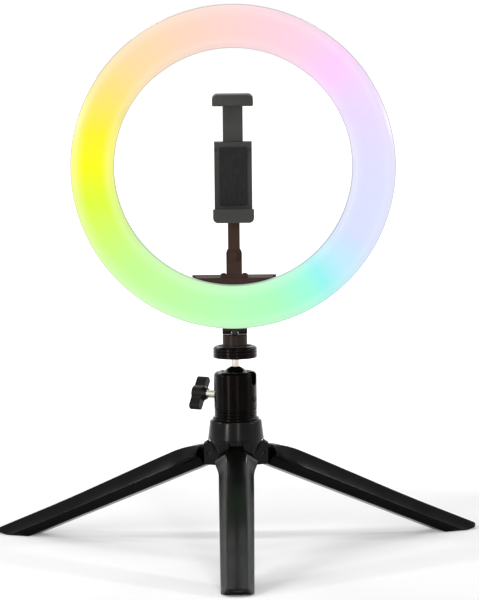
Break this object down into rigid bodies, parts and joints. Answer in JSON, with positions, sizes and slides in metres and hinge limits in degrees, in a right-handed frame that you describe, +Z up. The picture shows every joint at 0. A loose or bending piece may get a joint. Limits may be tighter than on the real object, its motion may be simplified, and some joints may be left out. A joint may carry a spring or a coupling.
{
  "type": "ring light",
  "caption": "Table-top LED ring light with a milky colour diffuser, on a folding three-legged mini stand with a ball head, and a sprung phone clamp on a folding arm inside the ring.",
  "frame": {"origin": "on the floor under the hub's axis, in the middle of the circle that the three feet stand on", "axes": "+Z up along the hub's axis, the lamp and one leg face -Y, +X to the right as seen from the front"},
  "size_m": [0.3998, 0.3469, 0.442],
  "materials": {
    "leg_plastic": "black glass-filled nylon, moulded, satin",
    "hub_plastic": "black moulded plastic, fine texture",
    "head_metal": "black anodised and lacquered alloy, semi-gloss",
    "ball_metal": "black lacquered ball, glossy",
    "bright_steel": "turned steel, bright",
    "screw_steel": "blackened and zinc-plated screws",
    "disc_metal": "black anodised alloy, turned",
    "knob_plastic": "charcoal moulded plastic",
    "post_plastic": "dark brown-black moulded plastic",
    "insert_brass": "machined brass insert",
    "housing_abs": "black textured ABS",
    "diffuser_acrylic": "milky acrylic, lit in soft colours",
    "board_laminate": "white solder mask on laminate",
    "led_package": "LED packages with phosphor",
    "reflector_film": "white reflector film",
    "controller_laminate": "green circuit board",
    "chip_plastic": "black epoxy chip packages",
    "foot_rubber": "black rubber",
    "seat_nylon": "natural nylon",
    "arm_plastic": "brown-black moulded plastic",
    "clamp_plastic": "charcoal moulded plastic",
    "pad_rubber": "black rubber"
  },
  "bodies": {
    "stand": {"hub_collar": "hub_plastic", "hub_spider": "hub_plastic", "hub_plug": "hub_plastic", "tripod_stud": "screw_steel", "leg_pins": "screw_steel", "swivel_flange": "head_metal", "head_base": "head_metal", "slip_washer": "hub_plastic"},
    "front_leg": {"leg_front": "leg_plastic", "rubber_foot_front": "foot_rubber"},
    "right_leg": {"leg_right": "leg_plastic", "rubber_foot_right": "foot_rubber"},
    "left_leg": {"leg_left": "leg_plastic", "rubber_foot_left": "foot_rubber"},
    "head": {"head_body": "head_metal", "ball_seat": "seat_nylon", "seat_screw": "bright_steel"},
    "knob": {"knob_shaft": "bright_steel", "wing_knob": "knob_plastic"},
    "ball_and_stem": {"ball": "ball_metal", "ball_stem": "bright_steel"},
    "disc": {"lock_disc": "disc_metal", "disc_pad": "pad_rubber"},
    "post": {"mount_post": "post_plastic", "thread_insert": "insert_brass"},
    "lamp": {"rear_housing": "housing_abs", "diffuser": "diffuser_acrylic", "led_board": "board_laminate", "led_chips": "led_package", "inner_reflector": "reflector_film", "outer_reflector": "reflector_film", "housing_screws": "screw_steel", "bridge_box": "arm_plastic", "bridge_cover": "arm_plastic", "bridge_screws": "screw_steel", "controller_board": "controller_laminate", "controller_chips": "chip_plastic", "cable_gland": "foot_rubber", "lower_arm": "arm_plastic", "arm_screws": "screw_steel", "arm_pin": "screw_steel", "tilt_pin": "screw_steel"},
    "arm": {"upper_arm": "arm_plastic", "knuckle_pin": "screw_steel"},
    "knuckle": {"clamp_knuckle": "clamp_plastic"},
    "clamp": {"clamp_back": "clamp_plastic", "swivel_collar": "clamp_plastic", "clamp_cover": "clamp_plastic", "clamp_screws": "screw_steel", "rest_pad": "pad_rubber", "lower_jaw": "clamp_plastic", "lower_jaw_pad": "pad_rubber", "jaw_springs": "screw_steel"},
    "jaw": {"upper_jaw": "clamp_plastic", "upper_jaw_pad": "pad_rubber"}
  },
  "joints": [
    {"name": "front_leg_fold", "type": "hinge", "parent": "stand", "child": "front_leg", "pos_m": [0, -0.017, 0.08], "axis": [1, 0, 0], "range_deg": [0, 67.5]},
    {"name": "right_leg_fold", "type": "hinge", "parent": "stand", "child": "right_leg", "pos_m": [0.01472, 0.0085, 0.08], "axis": [-0.5, 0.866, 0], "range_deg": [0, 67.5]},
    {"name": "left_leg_fold", "type": "hinge", "parent": "stand", "child": "left_leg", "pos_m": [-0.01472, 0.0085, 0.08], "axis": [-0.5, -0.866, 0], "range_deg": [0, 67.5]},
    {"name": "head_turn", "type": "hinge", "parent": "stand", "child": "head", "pos_m": [0, 0, 0.1172], "axis": [0, 0, 1], "continuous": true},
    {"name": "knob_turn", "type": "hinge", "parent": "head", "child": "knob", "pos_m": [0, 0, 0.127], "axis": [-0.8829, 0.4695, 0], "range_deg": [0, 270]},
    {"name": "ball_tilt", "type": "hinge", "parent": "head", "child": "ball_and_stem", "pos_m": [0, 0, 0.1393], "axis": [0.4695, 0.8829, 0], "range_deg": [-25, 90]},
    {"name": "disc_turn", "type": "hinge", "parent": "ball_and_stem", "child": "disc", "pos_m": [0, 0, 0.1622], "axis": [0, 0, 1], "continuous": true},
    {"name": "lamp_turn", "type": "hinge", "parent": "ball_and_stem", "child": "post", "pos_m": [0, 0, 0.172], "axis": [0, 0, 1], "continuous": true},
    {"name": "lamp_tilt", "type": "hinge", "parent": "post", "child": "lamp", "pos_m": [0, 0, 0.1794], "axis": [1, 0, 0], "range_deg": [-30, 30]},
    {"name": "arm_swing", "type": "hinge", "parent": "lamp", "child": "arm", "pos_m": [0, -0.0077, 0.2413], "axis": [0, 1, 0], "range_deg": [-30, 30]},
    {"name": "clamp_tilt", "type": "hinge", "parent": "arm", "child": "knuckle", "pos_m": [0, -0.0077, 0.3217], "axis": [1, 0, 0], "range_deg": [-25, 8]},
    {"name": "clamp_turn", "type": "hinge", "parent": "knuckle", "child": "clamp", "pos_m": [0, -0.0195, 0.3217], "axis": [0, -1, 0], "range_deg": [-90, 90]},
    {"name": "jaw_slide", "type": "slide", "parent": "clamp", "child": "jaw", "axis": [0, 0, 1], "range_m": [-0.029, 0.004], "deforming": ["jaw_springs"]}
  ]
}
